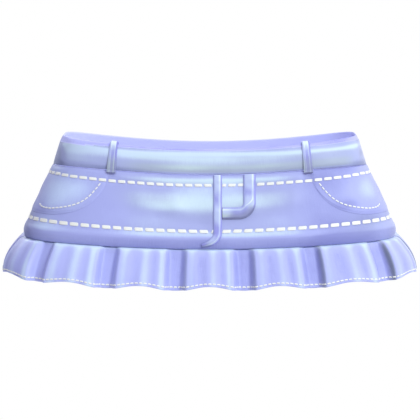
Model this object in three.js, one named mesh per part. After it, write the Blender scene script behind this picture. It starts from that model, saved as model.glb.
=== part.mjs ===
import * as THREE from 'three';

// A very short flared denim skirt as it hangs when worn: a padded waistband, a front and a back panel
// with a turned-up hem, a gathered ruffle below it, hip pockets, fly welts and two belt loops.
// Millimetres, z up. x points to the wearer's left and y to the wearer's back.
// The origin is the middle of the waist, halfway up the waistband.

// ---------------------------------------------------------------- driving sizes

// Seen from above each ring is a rounded rectangle, |x/a|^n + |y/b|^n = 1.
const PLAN_EXPONENT = 4.2;
const PLAN_ASPECT = 0.6;
const PLAN_STEPS = 2000;

// Every ring dips from its sides to the middle of its front and back; a larger bend keeps
// the dip nearer the middle.
const RINGS = {
  rim: {
    halfWidth: 168, frontDepth: 93, backDepth: 98, height: 18, frontDip: 13.6, backDip: 13.7, bend: 1.05,
  },
  bandFoot: {
    halfWidth: 179.6, frontDepth: 101, backDepth: 107, height: -14.6, frontDip: 9, backDip: 11, bend: 1.75,
  },
  panelHem: {
    halfWidth: 217, frontDepth: 127, backDepth: 135, height: -94, frontDip: 10, backDip: 12, bend: 1.15,
  },
  ruffleHem: {
    halfWidth: 238, frontDepth: 151, backDepth: 160, height: -133.5, frontDip: 13.1, backDip: 16, bend: 0.8,
  },
};

// A cloth wall's rows: level along the piece, 0 at its top and 1 at its foot, and how far
// the outer face and the inner face stand off the plain ring surface.
const BAND_ROWS = [
  { level: 0.0, face: 0.5, back: -0.7 },
  { level: 0.04, face: 1.6, back: -1.3 },
  { level: 0.16, face: 2.4, back: -1.5 },
  { level: 0.42, face: 2.7, back: -1.5 },
  { level: 0.72, face: 2.4, back: -1.5 },
  { level: 0.93, face: 1.7, back: -1.3 },
  { level: 1.0, face: 0.7, back: -0.9 },
];

const PANEL_ROWS = [
  { level: 0.0, face: 0.0, back: -1.8 },
  { level: 0.3, face: 0.0, back: -1.8 },
  { level: 0.58, face: 0.0, back: -1.8 },
  { level: 0.82, face: 0.0, back: -1.8 },
  { level: 0.87, face: 0.5, back: -3.2 },
  { level: 0.92, face: -0.1, back: -4.2 },
  { level: 0.96, face: -1.5, back: -4.9 },
  { level: 1.0, face: -4.4, back: -6.0 },
];

const SEAM_GAP = 0.3;
const PANEL_COLUMNS = 52;
const PANEL_TOP_LEVEL = 0.006;

// How far apart, in shares and levels, the points are that give the direction of the surface.
const PROBE = 0.002;

// The ruffle: one row for each valley between two waves, from the front round to the back of
// one side. Places are in wave pitches from the middle of the front, at the gathered neck and
// at the hem; width is half the valley, depth how far it lies behind the waves, and sag how
// much lower its hem hangs.
const WAVE_COUNT = 16;
const VALLEYS = [
  { neck: 0.485, hem: 0.465, width: 14.0, depth: 11.0, sag: 5.4 },
  { neck: 1.45, hem: 1.4, width: 13.5, depth: 11.5, sag: 5.0 },
  { neck: 2.43, hem: 2.37, width: 13.0, depth: 10.5, sag: 4.6 },
  { neck: 3.45, hem: 3.4, width: 12.0, depth: 9.0, sag: 3.8 },
  { neck: 4.43, hem: 4.47, width: 12.5, depth: 9.5, sag: 4.0 },
  { neck: 5.44, hem: 5.58, width: 13.5, depth: 11.0, sag: 4.8 },
  { neck: 6.4, hem: 6.5, width: 13.0, depth: 10.5, sag: 5.0 },
  { neck: 7.47, hem: 7.52, width: 14.5, depth: 11.5, sag: 5.2 },
];
const VALLEYS_BEFORE_SEAM = 4;
const VALLEY_COLUMNS = [-1, -0.8, -0.6, -0.36, 0.36, 0.6, 0.8, 1];
const WAVE_COLUMNS = [0.25, 0.5, 0.75];
const WAVE_DIMPLE = 1.0;
const VALLEY_FLOOR = 0.34;

const RUFFLE_WALL = 1.5;

// How quickly the ruffle swings out on its way down: 1 is a straight fall, more is a bell.
const RUFFLE_FLARE = { front: 1.2, side: 2.4 };

// level is the height on the panel of a row tucked behind it; fall is the way down from the
// panel's hem edge to the ruffle's hem; gather is the share of the valleys' depth reached there.
const RUFFLE_ROWS = [
  { level: 0.9, fall: 0, gather: 0.15 },
  { level: 1.0, fall: 0, gather: 0.55 },
  { level: 1.0, fall: 0.07, gather: 0.67 },
  { level: 1.0, fall: 0.2, gather: 0.82 },
  { level: 1.0, fall: 0.4, gather: 0.93 },
  { level: 1.0, fall: 0.6, gather: 0.97 },
  { level: 1.0, fall: 0.8, gather: 0.99 },
  { level: 1.0, fall: 1.0, gather: 1.0 },
];

// Hip pocket: a patch from the waistband to a rounded lower edge, out to the side seam.
// Its edge is a quarter of a rounded rectangle; shares are of the whole way round a ring.
const POCKET = {
  innerShare: 0.11,
  cornerShare: 0.17,
  topLevel: 0.012,
  tipDepth: 0.05,
  depth: 0.67,
  roundness: 2.5,
  rise: 0.9,
  edgeRise: 0.4,
};
const POCKET_ROWS = [0, 0.35, 0.7, 0.93, 1];
const POCKET_TIP_SHARES = [0, 0.0012, 0.0035, 0.007];

// Fly welts: along is measured from the front's middle and drop down from the waistband.
const FRONT_DROP = 84;
const WELT_TOP = 0.9;
const WELT_BEND_STEPS = 7;
const WELT_PROFILE = [
  { across: -1, rise: 0.5 },
  { across: -0.6, rise: 1.4 },
  { across: 0, rise: 1.8 },
  { across: 0.6, rise: 1.4 },
  { across: 1, rise: 0.5 },
];
const FLY_EDGE = {
  along: 9.5, halfWidth: 4.6, bendStart: 67, bendReach: 12, endAlong: -9.4, endDrop: 82, endHalf: 1.5,
};
const FLY_J = { along: 45.6, uprightHalf: 6.8, footHalf: 6.3, drop: 45.4, bendRadius: 11.5 };

// Belt loops: a strip from just below the waistband, up over its rim and a little way down
// inside. up is measured from the rim, on a band LOOP_BAND_HEIGHT high, and out from the plain
// ring surface. The distances along are from the front's middle, at the rim and at the band's foot.
const LOOP_WIDTH = 9.4;
const LOOP = { topAlong: 108.5, footAlong: 112 };
const LOOP_BAND_HEIGHT = 34;
const LOOP_ROUTE = [
  { up: -38.5, out: 2.0 },
  { up: -36, out: 2.0 },
  { up: -32, out: 3.0 },
  { up: -22, out: 3.5 },
  { up: -12, out: 3.5 },
  { up: -3.5, out: 3.3 },
  { up: 1, out: 2.7 },
  { up: 3.2, out: 1.0 },
  { up: 3.2, out: -1.0 },
  { up: 1, out: -2.2 },
  { up: -4.5, out: -2.4 },
];
const LOOP_PROFILE = [
  { across: -1, rise: 0.9 },
  { across: -0.5, rise: 1.6 },
  { across: 0, rise: 1.1 },
  { across: 0.5, rise: 1.6 },
  { across: 1, rise: 0.9 },
];

const COLOURS = { panel: 0xb7c2f5, band: 0xafb9f3, ruffle: 0xbcc8f8, trim: 0xb2bbf2 };

// ---------------------------------------------------------------- plan and rings

// One quarter of the plan as equal steps of length, from the middle of a face to a side.
function quarterPlan() {
  const points = [];
  for (let step = 0; step <= PLAN_STEPS; step += 1) {
    const turn = (step / PLAN_STEPS) * (Math.PI / 2);
    const x = Math.sin(turn) ** (2 / PLAN_EXPONENT);
    const y = Math.cos(turn) ** (2 / PLAN_EXPONENT);
    points.push({ x, y, length: 0 });
  }
  points[PLAN_STEPS].y = 0;
  for (let step = 1; step <= PLAN_STEPS; step += 1) {
    const run = points[step].x - points[step - 1].x;
    const rise = (points[step].y - points[step - 1].y) * PLAN_ASPECT;
    points[step].length = points[step - 1].length + Math.hypot(run, rise);
  }
  return points;
}

const QUARTER = quarterPlan();
const QUARTER_LENGTH = QUARTER[PLAN_STEPS].length;

function quarterPoint(portion) {
  const target = portion * QUARTER_LENGTH;
  let low = 0;
  let high = PLAN_STEPS;
  while (high - low > 1) {
    const middle = (low + high) >> 1;
    if (QUARTER[middle].length < target) {
      low = middle;
    } else {
      high = middle;
    }
  }
  const span = QUARTER[high].length - QUARTER[low].length;
  const portionOfStep = span > 0 ? (target - QUARTER[low].length) / span : 0;
  return {
    x: THREE.MathUtils.lerp(QUARTER[low].x, QUARTER[high].x, portionOfStep),
    y: THREE.MathUtils.lerp(QUARTER[low].y, QUARTER[high].y, portionOfStep),
  };
}

// A share is the way round a ring: 0 at the front, 0.25 at the wearer's left side, 0.5 at the back.
function planPoint(share) {
  const wrapped = share - Math.round(share);
  const reach = Math.abs(wrapped);
  const onFront = reach <= 0.25;
  const quarter = quarterPoint(onFront ? reach * 4 : (0.5 - reach) * 4);
  return { x: Math.sign(wrapped) * quarter.x, y: onFront ? -quarter.y : quarter.y };
}

function ringLength(ring) {
  return 4 * QUARTER_LENGTH * ring.halfWidth;
}

function betweenRings(first, second, portion) {
  const ring = {};
  for (const size of Object.keys(first)) {
    ring[size] = THREE.MathUtils.lerp(first[size], second[size], portion);
  }
  return ring;
}

function ringPoint(ring, share) {
  const plan = planPoint(share);
  const depth = plan.y < 0 ? ring.frontDepth : ring.backDepth;
  const dip = plan.y < 0 ? ring.frontDip : ring.backDip;
  const fall = dip * (1 - plan.x ** 2) ** ring.bend;
  return new THREE.Vector3(plan.x * ring.halfWidth, plan.y * depth, ring.height - fall);
}

// The point of the cloth at a share and level, moved out along the surface's own normal.
function surfacePoint(top, foot, share, level, out) {
  const at = (s, l) => ringPoint(betweenRings(top, foot, l), s);
  const down = at(share, level + PROBE).sub(at(share, level - PROBE));
  const along = at(share + PROBE, level).sub(at(share - PROBE, level));
  const normal = down.cross(along).normalize();
  return at(share, level).addScaledVector(normal, out);
}

function bandPoint(share, level, out) {
  return surfacePoint(RINGS.rim, RINGS.bandFoot, share, level, out);
}

function panelPoint(share, level, out) {
  return surfacePoint(RINGS.bandFoot, RINGS.panelHem, share, level, out);
}

function rowValue(rows, level, column) {
  const last = rows.length - 1;
  let index = 0;
  while (index < last - 1 && rows[index + 1].level < level) {
    index += 1;
  }
  const { level: from } = rows[index];
  const { level: to } = rows[index + 1];
  const portion = THREE.MathUtils.clamp((level - from) / (to - from), 0, 1);
  return THREE.MathUtils.lerp(rows[index][column], rows[index + 1][column], portion);
}

// A point on the panel's outer face, moved out by a clearance and a rise.
function panelFacePoint(share, level, out) {
  return panelPoint(share, level, rowValue(PANEL_ROWS, level, 'face') + out);
}

// ---------------------------------------------------------------- closed walls

function meshGeometry(points, triangles) {
  const geometry = new THREE.BufferGeometry();
  const positions = points.flatMap((point) => [point.x, point.y, point.z]);
  geometry.setAttribute('position', new THREE.Float32BufferAttribute(positions, 3));
  geometry.setIndex(triangles);
  geometry.computeVertexNormals();
  return geometry;
}

// Closes the space between an outer and an inner grid of points. Rows run from the top down
// and columns run round the body with the front's towards the wearer's left.
function wallGeometry(outer, inner, isRing) {
  const rows = outer.length;
  const columns = outer[0].length;
  const points = [...outer.flat(), ...inner.flat()];
  const innerStart = rows * columns;
  const triangles = [];
  const quad = (a, b, c, d) => triangles.push(a, c, b, b, c, d);
  const outerId = (row, column) => row * columns + (column % columns);
  const innerId = (row, column) => innerStart + outerId(row, column);
  const spans = isRing ? columns : columns - 1;
  for (let column = 0; column < spans; column += 1) {
    const next = column + 1;
    for (let row = 0; row < rows - 1; row += 1) {
      quad(outerId(row, column), outerId(row, next), outerId(row + 1, column), outerId(row + 1, next));
      quad(innerId(row, next), innerId(row, column), innerId(row + 1, next), innerId(row + 1, column));
    }
    quad(innerId(0, column), innerId(0, next), outerId(0, column), outerId(0, next));
    const foot = rows - 1;
    quad(outerId(foot, column), outerId(foot, next), innerId(foot, column), innerId(foot, next));
  }
  if (!isRing) {
    const end = columns - 1;
    for (let row = 0; row < rows - 1; row += 1) {
      quad(innerId(row, 0), outerId(row, 0), innerId(row + 1, 0), outerId(row + 1, 0));
      quad(outerId(row, end), innerId(row, end), outerId(row + 1, end), innerId(row + 1, end));
    }
  }
  return meshGeometry(points, triangles);
}

function evenShares(from, to, spans) {
  return Array.from({ length: spans + 1 }, (_, index) => from + ((to - from) * index) / spans);
}

// ---------------------------------------------------------------- waistband and panels

function waistbandGeometry() {
  const shares = evenShares(-0.5, 0.5, PANEL_COLUMNS * 2).slice(0, -1);
  const grid = (face) =>
    BAND_ROWS.map((row) => shares.map((share) => bandPoint(share, row.level, row[face])));
  return wallGeometry(grid('face'), grid('back'), true);
}

// Moves both end columns of an open grid half a seam's gap towards their neighbours.
function trimmedForSeams(grid) {
  return grid.map((points) => {
    const end = points.length - 1;
    const shortened = points.map((point) => point.clone());
    shortened[0].add(points[1].clone().sub(points[0]).setLength(SEAM_GAP / 2));
    shortened[end].add(points[end - 1].clone().sub(points[end]).setLength(SEAM_GAP / 2));
    return shortened;
  });
}

function panelGeometry(middle) {
  const shares = evenShares(middle - 0.25, middle + 0.25, PANEL_COLUMNS);
  const grid = (face) =>
    PANEL_ROWS.map((row) => {
      const level = Math.max(row.level, PANEL_TOP_LEVEL);
      return shares.map((share) => panelPoint(share, level, row[face]));
    });
  return wallGeometry(trimmedForSeams(grid('face')), trimmedForSeams(grid('back')), false);
}

// ---------------------------------------------------------------- ruffle

// The valleys right round, from the back's middle over the wearer's right side to the left.
function allValleys() {
  const right = VALLEYS.map((valley) => ({ ...valley, neck: -valley.neck, hem: -valley.hem }));
  return [...right.reverse(), ...VALLEYS];
}

function wavePitch(fall) {
  return ringLength(betweenRings(RINGS.panelHem, RINGS.ruffleHem, fall)) / WAVE_COUNT;
}

function valleyPlace(valley, fall) {
  return THREE.MathUtils.lerp(valley.neck, valley.hem, fall);
}

function valleyColumns(valley, fall) {
  const halfWidth = valley.width / wavePitch(fall);
  return VALLEY_COLUMNS.map((across) => ({
    place: valleyPlace(valley, fall) + across * halfWidth,
    depth: valley.depth * (1 - THREE.MathUtils.smootherstep(Math.abs(across), VALLEY_FLOOR, 1)),
    sag: valley.sag * Math.cos(Math.PI * across * halfWidth) ** 2,
  }));
}

// Columns on the wave between two valleys, with a slight dimple along its middle.
function waveColumns(valley, next, fall) {
  const pitch = wavePitch(fall);
  const start = valleyPlace(valley, fall);
  const end = valleyPlace(next, fall);
  return WAVE_COLUMNS.map((portion) => {
    const place = THREE.MathUtils.lerp(start + valley.width / pitch, end - next.width / pitch, portion);
    const nearer = portion < 0.5 ? valley : next;
    const across = (place - start) / (end - start);
    return {
      place,
      depth: WAVE_DIMPLE * Math.sin(Math.PI * portion) ** 2,
      sag: nearer.sag * Math.cos(Math.PI * across) ** 2,
    };
  });
}

function ruffleColumns(valleys, fall) {
  const first = valleys[0];
  const firstAgain = { ...first, neck: first.neck + WAVE_COUNT, hem: first.hem + WAVE_COUNT };
  return valleys.flatMap((valley, index) => {
    const next = valleys[index + 1] ?? firstAgain;
    return [...valleyColumns(valley, fall), ...waveColumns(valley, next, fall)];
  });
}

function planNormal(share) {
  const after = ringPoint(RINGS.panelHem, share + PROBE);
  const before = ringPoint(RINGS.panelHem, share - PROBE);
  const along = after.sub(before);
  return new THREE.Vector3(along.y, -along.x, 0).normalize();
}

// Down to the panel's hem the ruffle follows the panel's inside; below it swings outwards.
function rufflePoint(column, row) {
  const share = column.place / WAVE_COUNT;
  const hidden = rowValue(PANEL_ROWS, row.level, 'back') - SEAM_GAP;
  const neck = panelPoint(share, row.level, hidden);
  const hem = ringPoint(RINGS.ruffleHem, share);
  const normal = planNormal(share);
  const power = THREE.MathUtils.lerp(RUFFLE_FLARE.front, RUFFLE_FLARE.side, normal.x ** 2);
  const flare = 1 - (1 - row.fall) ** power;
  const point = new THREE.Vector3(
    THREE.MathUtils.lerp(neck.x, hem.x, flare),
    THREE.MathUtils.lerp(neck.y, hem.y, flare),
    THREE.MathUtils.lerp(neck.z, hem.z, row.fall),
  );
  point.addScaledVector(normal, -column.depth * row.gather);
  point.z -= column.sag * row.fall ** 2;
  return point;
}

function gridNormal(grid, row, column) {
  const columns = grid[0].length;
  const above = grid[Math.max(row - 1, 0)][column];
  const below = grid[Math.min(row + 1, grid.length - 1)][column];
  const before = grid[row][(column + columns - 1) % columns];
  const after = grid[row][(column + 1) % columns];
  const down = below.clone().sub(above);
  const along = after.clone().sub(before);
  return down.cross(along).normalize();
}

function ruffleGrids() {
  const valleys = allValleys();
  const outer = RUFFLE_ROWS.map((row) =>
    ruffleColumns(valleys, row.fall).map((column) => rufflePoint(column, row)));
  const inner = outer.map((points, row) =>
    points.map((point, column) =>
      point.clone().addScaledVector(gridNormal(outer, row, column), -RUFFLE_WALL)));
  return { outer, inner };
}

const RUFFLE = ruffleGrids();

// One half of the ruffle, cut along the crests of the two waves at the side seams.
function ruffleGeometry(isFront) {
  const columnsPerWave = VALLEY_COLUMNS.length + WAVE_COLUMNS.length;
  const crest = VALLEY_COLUMNS.length + (WAVE_COLUMNS.length - 1) / 2;
  const rightSeam = (WAVE_COUNT / 2 - VALLEYS_BEFORE_SEAM - 1) * columnsPerWave + crest;
  const leftSeam = (WAVE_COUNT / 2 + VALLEYS_BEFORE_SEAM - 1) * columnsPerWave + crest;
  const half = (grid) => {
    const cut = grid.map((points) => (isFront
      ? points.slice(rightSeam, leftSeam + 1)
      : [...points.slice(leftSeam), ...points.slice(0, rightSeam + 1)]));
    return trimmedForSeams(cut);
  };
  return wallGeometry(half(RUFFLE.outer), half(RUFFLE.inner), false);
}

// ---------------------------------------------------------------- hip pockets

// How far down the panel the pocket reaches at a share.
function pocketFootLevel(share) {
  const { innerShare, cornerShare, roundness, tipDepth, depth } = POCKET;
  const run = Math.min((share - innerShare) / (cornerShare - innerShare), 1);
  const portion = (1 - (1 - run) ** roundness) ** (1 / roundness);
  return THREE.MathUtils.lerp(tipDepth, depth, portion);
}

// The pocket's columns are the panel's own, so that both bend at the same places.
function pocketShares() {
  const tip = POCKET_TIP_SHARES.map((step) => POCKET.innerShare + step);
  const spacing = 0.5 / PANEL_COLUMNS;
  const panel = evenShares(0, 0.25, PANEL_COLUMNS / 2);
  return [...tip, ...panel.filter((share) => share > tip.at(-1) + spacing / 2)];
}

function pocketGeometry(side) {
  const shares = pocketShares();
  const grid = (isOuter) =>
    POCKET_ROWS.map((portion) => {
      const points = shares.map((share, index) => {
        const level = THREE.MathUtils.lerp(POCKET.topLevel, pocketFootLevel(share), portion);
        const isEdge = portion === 1 || index === 0;
        const rise = isEdge ? POCKET.edgeRise : POCKET.rise;
        return panelFacePoint(side * share, level, SEAM_GAP + (isOuter ? rise : 0));
      });
      return side > 0 ? points : points.reverse();
    });
  return wallGeometry(trimmedForSeams(grid(true)), trimmedForSeams(grid(false)), false);
}

// ---------------------------------------------------------------- fly welts

// A point on the front from its distance along the front's middle and down from the waistband.
function frontPoint(along, drop, out) {
  const level = drop / FRONT_DROP;
  const ring = betweenRings(RINGS.bandFoot, RINGS.panelHem, level);
  return panelFacePoint(along / ringLength(ring), level, out);
}

// A crowned strip laid along a route of { along, drop, halfWidth } on the front.
function weltGeometry(route) {
  const sections = route.map((spot, index) => {
    const before = route[Math.max(index - 1, 0)];
    const after = route[Math.min(index + 1, route.length - 1)];
    const heading = new THREE.Vector2(after.along - before.along, after.drop - before.drop).normalize();
    return { ...spot, sideAlong: -heading.y, sideDrop: heading.x };
  });
  const grid = (isOuter) =>
    WELT_PROFILE.map(({ across, rise }) =>
      sections.map((section) => {
        const reach = across * section.halfWidth;
        const along = section.along + section.sideAlong * reach;
        const drop = section.drop + section.sideDrop * reach;
        return frontPoint(along, drop, SEAM_GAP + (isOuter ? rise : 0));
      }));
  return wallGeometry(grid(true), grid(false), false);
}

// Down the front beside its middle, then bent across it to end in a point at the hem.
function flyEdgeRoute() {
  const { along, halfWidth, bendStart, bendReach, endAlong, endDrop, endHalf } = FLY_EDGE;
  const straight = [WELT_TOP, bendStart / 2].map((drop) => ({ along, drop, halfWidth }));
  const bend = new THREE.QuadraticBezierCurve(
    new THREE.Vector2(along, bendStart),
    new THREE.Vector2(along, bendStart + bendReach),
    new THREE.Vector2(endAlong, endDrop),
  );
  const curved = bend.getPoints(WELT_BEND_STEPS).map(({ x, y }, index) => {
    const portion = index / WELT_BEND_STEPS;
    return { along: x, drop: y, halfWidth: THREE.MathUtils.lerp(halfWidth, endHalf, portion ** 2) };
  });
  return [...straight, ...curved];
}

// Down from the waistband, round a quarter turn and back to the fly edge.
function flyJRoute() {
  const { along, drop, bendRadius, uprightHalf, footHalf } = FLY_J;
  const endAlong = FLY_EDGE.along + FLY_EDGE.halfWidth + SEAM_GAP;
  const path = new THREE.Path();
  path.moveTo(along, WELT_TOP);
  path.lineTo(along, drop - bendRadius);
  path.absarc(along - bendRadius, drop - bendRadius, bendRadius, 0, Math.PI / 2, false);
  path.lineTo(endAlong, drop);
  const points = path.getPoints(WELT_BEND_STEPS);
  return points.map(({ x, y }) => {
    const turned = THREE.MathUtils.clamp((along - x) / bendRadius, 0, 1);
    return { along: x, drop: y, halfWidth: THREE.MathUtils.lerp(uprightHalf, footHalf, turned) };
  });
}

// ---------------------------------------------------------------- belt loops

// The share of a point of a loop, from its own level because the band widens downwards.
function loopShare(side, level, across) {
  const along = THREE.MathUtils.lerp(LOOP.topAlong, LOOP.footAlong, level);
  const ring = betweenRings(RINGS.rim, RINGS.bandFoot, level);
  return (side * along + across) / ringLength(ring);
}

function loopGeometry(side) {
  const sections = LOOP_ROUTE.map((spot, index) => {
    const before = LOOP_ROUTE[Math.max(index - 1, 0)];
    const after = LOOP_ROUTE[Math.min(index + 1, LOOP_ROUTE.length - 1)];
    const heading = new THREE.Vector2(after.up - before.up, after.out - before.out).normalize();
    return { ...spot, offUp: -heading.y, offOut: heading.x };
  });
  const grid = (isOuter) =>
    LOOP_PROFILE.map(({ across, rise }) =>
      sections.map((section) => {
        const thickness = isOuter ? rise : 0;
        const level = -(section.up + section.offUp * thickness) / LOOP_BAND_HEIGHT;
        const out = section.out + section.offOut * thickness;
        return bandPoint(loopShare(side, level, (across * LOOP_WIDTH) / 2), level, out);
      }));
  return wallGeometry(grid(true), grid(false), false);
}

// ---------------------------------------------------------------- the skirt

function cloth(colour) {
  return new THREE.MeshStandardMaterial({ color: colour, roughness: 0.5, metalness: 0 });
}

function addPiece(group, name, geometry, colour) {
  const mesh = new THREE.Mesh(geometry, cloth(colour));
  mesh.name = name;
  group.add(mesh);
}

function buildSkirt() {
  const skirt = new THREE.Group();
  addPiece(skirt, 'waistband', waistbandGeometry(), COLOURS.band);
  addPiece(skirt, 'front_panel', panelGeometry(0), COLOURS.panel);
  addPiece(skirt, 'back_panel', panelGeometry(0.5), COLOURS.panel);
  addPiece(skirt, 'ruffle_front', ruffleGeometry(true), COLOURS.ruffle);
  addPiece(skirt, 'ruffle_back', ruffleGeometry(false), COLOURS.ruffle);
  addPiece(skirt, 'pocket_left', pocketGeometry(1), COLOURS.panel);
  addPiece(skirt, 'pocket_right', pocketGeometry(-1), COLOURS.panel);
  addPiece(skirt, 'fly_edge', weltGeometry(flyEdgeRoute()), COLOURS.trim);
  addPiece(skirt, 'fly_j', weltGeometry(flyJRoute()), COLOURS.trim);
  addPiece(skirt, 'belt_loop_left', loopGeometry(1), COLOURS.trim);
  addPiece(skirt, 'belt_loop_right', loopGeometry(-1), COLOURS.trim);
  return skirt;
}

const skirt = buildSkirt();

export default skirt;
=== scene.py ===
"""A very short ruffled denim skirt, filled out as worn: its cloth, its sewing, the light and the camera."""

import math

import bpy
import numpy as np
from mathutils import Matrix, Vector


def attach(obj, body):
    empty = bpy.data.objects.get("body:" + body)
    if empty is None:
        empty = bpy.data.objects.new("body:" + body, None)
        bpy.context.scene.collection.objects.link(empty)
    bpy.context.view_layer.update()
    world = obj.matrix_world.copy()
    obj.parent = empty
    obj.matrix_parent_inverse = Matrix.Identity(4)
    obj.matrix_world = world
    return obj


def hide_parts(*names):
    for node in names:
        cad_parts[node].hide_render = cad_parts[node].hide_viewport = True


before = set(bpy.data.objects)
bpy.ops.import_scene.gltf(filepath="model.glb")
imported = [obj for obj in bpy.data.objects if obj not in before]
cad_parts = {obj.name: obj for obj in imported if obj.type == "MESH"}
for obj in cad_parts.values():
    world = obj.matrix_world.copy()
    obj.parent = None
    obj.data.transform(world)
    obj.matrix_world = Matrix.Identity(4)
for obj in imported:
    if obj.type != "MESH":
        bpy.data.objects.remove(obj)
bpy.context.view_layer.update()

# ---------------- curves


def smooth_curve(places, values, at):
    """A curve through the named places without overshoot (monotone cubic)."""
    x, y = np.asarray(places, float), np.asarray(values, float)
    h, slope = np.diff(x), np.diff(y) / np.diff(x)
    m = np.zeros_like(y)
    same = slope[1:] * slope[:-1] > 0
    w1, w2 = 2 * h[1:] + h[:-1], h[1:] + 2 * h[:-1]
    with np.errstate(divide="ignore", invalid="ignore"):
        harmonic = (w1 + w2) / (w1 / slope[:-1] + w2 / slope[1:])
    m[1:-1] = np.where(same, harmonic, 0)
    m[0], m[-1] = slope[0], slope[-1]
    at = np.clip(at, x[0], x[-1])
    i = np.clip(np.searchsorted(x, at, "right") - 1, 0, len(x) - 2)
    t = (at - x[i]) / h[i]
    a, b = (1 + 2 * t) * (1 - t) ** 2, t * (1 - t) ** 2
    c, d = t * t * (3 - 2 * t), t * t * (t - 1)
    return a * y[i] + b * h[i] * m[i] + c * y[i + 1] + d * h[i] * m[i + 1]


def smoother(t):
    """A soft step from 0 at 0 to 1 at 1."""
    t = np.clip(t, 0, 1)
    return t**3 * (t * (6 * t - 15) + 10)


def rounded(t):
    """A quarter circle from 0 at 0 to 1 at 1, and 1 past it."""
    return np.sqrt(1 - (1 - np.clip(t, 0, 1)) ** 2)


def bell(x, middle, width):
    return np.exp(-(((x - middle) / width) ** 2) / 2)


def spot(x, y, x0, y0, width, height):
    return np.exp(-(((x - x0) / width) ** 2 + ((y - y0) / height) ** 2) / 2)


def bells(rows, x):
    """Bells added up. Each row is strength, middle and width."""
    return sum(strength * bell(x, *row) for strength, *row in rows)


def spots(rows, x, y):
    """Spots added up. Each row is strength, the middle's two places, width and height."""
    return sum(strength * spot(x, y, *row) for strength, *row in rows)


def unit(vectors):
    return vectors / np.maximum(np.linalg.norm(vectors, axis=-1, keepdims=True), 1e-12)


# ---------------- the skirt's form, in millimetres

# Seen from above each ring is a rounded rectangle, |x/a|^n + |y/b|^n = 1.
PLAN_EXPONENT = 4.2
PLAN_ASPECT = 0.6
# The step, as a share or a level, by which a surface is probed for its normal.
PROBE = 0.002

# half width, front depth, back depth, height, front dip, back dip, bend of the dip
RIM = np.array([168, 93, 98, 18, 13.6, 13.7, 1.05])
BAND_FOOT = np.array([179.6, 101, 107, -14.6, 9, 11, 1.75])
PANEL_HEM = np.array([217, 127, 135, -94, 10, 12, 1.15])
RUFFLE_HEM = np.array([238, 151, 160, -133.5, 13.1, 16, 0.8])
BAND_HEIGHT = 34.0
PANEL_HEIGHT = 84.0

_turn = np.linspace(0, math.pi / 2, 4001)
_quarter_x = np.sin(_turn) ** (2 / PLAN_EXPONENT)
_quarter_y = np.cos(_turn) ** (2 / PLAN_EXPONENT)
_quarter_y[-1] = 0
_steps = np.hypot(np.diff(_quarter_x), np.diff(_quarter_y) * PLAN_ASPECT)
_run = np.concatenate([[0], np.cumsum(_steps)])
QUARTER_LENGTH = _run[-1]


def from_front(share):
    """A share of the way round as -0.5 to 0.5: 0 at the front's middle, 0.25 at the wearer's left side."""
    return share - np.round(share)


def plan(share):
    """x and y of the plan at a share of the way round."""
    wrapped = from_front(share)
    reach = np.abs(wrapped)
    front = reach <= 0.25
    portion = np.where(front, reach, 0.5 - reach) * 4 * QUARTER_LENGTH
    x = np.sign(wrapped) * np.interp(portion, _run, _quarter_x)
    y = np.interp(portion, _run, _quarter_y) * np.where(front, -1, 1)
    return x, y


def ring_length(ring):
    return 4 * QUARTER_LENGTH * ring[..., 0]


def between(first, second, portion):
    return first + (second - first) * np.asarray(portion)[..., None]


def ring_point(ring, share):
    x, y = plan(share)
    depth = np.where(y < 0, ring[..., 1], ring[..., 2])
    dip = np.where(y < 0, ring[..., 4], ring[..., 5])
    fall = dip * np.maximum(1 - x * x, 0) ** ring[..., 6]
    return np.stack([x * ring[..., 0], y * depth, ring[..., 3] - fall], -1)


def surface_point(top, foot, share, level, out):
    """A point of the surface from ring to ring. Level is 0 at the top and 1 at the foot, and out is along
    the normal."""
    share, level, out = np.broadcast_arrays(*[np.asarray(a, float) for a in (share, level, out)])

    def at(s, l):
        return ring_point(between(top, foot, l), s)

    down = at(share, level + PROBE) - at(share, level - PROBE)
    along = at(share + PROBE, level) - at(share - PROBE, level)
    return at(share, level) + unit(np.cross(down, along)) * out[..., None]


def band_point(share, level, out):
    return surface_point(RIM, BAND_FOOT, share, level, out)


def panel_point(share, level, out):
    return surface_point(BAND_FOOT, PANEL_HEM, share, level, out)


def band_length(level):
    """The way round the waistband at a level."""
    return ring_length(between(RIM, BAND_FOOT, level))


def panel_length(level):
    """The way round the panels at a level."""
    return ring_length(between(BAND_FOOT, PANEL_HEM, level))


HALF_WAY_LENGTH = float(panel_length(0.5))

# Levels, and how far each face of a wall stands off its ring there.
BAND_FACE = (
    [0, 0.015, 0.05, 0.15, 0.33, 0.55, 0.75, 0.9, 0.97, 1],
    [0.1, 1.1, 1.9, 2.6, 3.0, 2.8, 2.3, 1.6, 1.1, 0.5],
)
BAND_BACK = ([0, 0.02, 0.08, 0.5, 0.93, 1], [-0.5, -1.1, -1.4, -1.5, -1.4, -0.9])
PANEL_FACE = (
    [0.004, 0.012, 0.03, 0.82, 0.87, 0.92, 0.96, 1.0, 1.008],
    [-0.8, -0.2, 0, 0, 0.5, -0.1, -1.5, -4.4, -5.0],
)
PANEL_BACK = (
    [0.004, 0.012, 0.03, 0.8, 0.87, 0.92, 0.96, 1.0, 1.008],
    [-1.1, -1.6, -1.8, -1.8, -3.2, -4.2, -4.9, -5.9, -5.6],
)


# ---------------- soft folds in the cloth


def ridge(along, drop, start, end, width, height):
    """A soft ridge, or a trough with a negative height, along a line on the cloth, in millimetres."""
    (x0, y0), (x1, y1) = start, end
    dx, dy = x1 - x0, y1 - y0
    t = np.clip(((along - x0) * dx + (drop - y0) * dy) / (dx * dx + dy * dy), 0, 1)
    return height * bell(np.hypot(along - x0 - t * dx, drop - y0 - t * dy), 0, width)


def folds_at(folds, along, drop):
    return sum(ridge(along, drop, *fold) for fold in folds)


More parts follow.
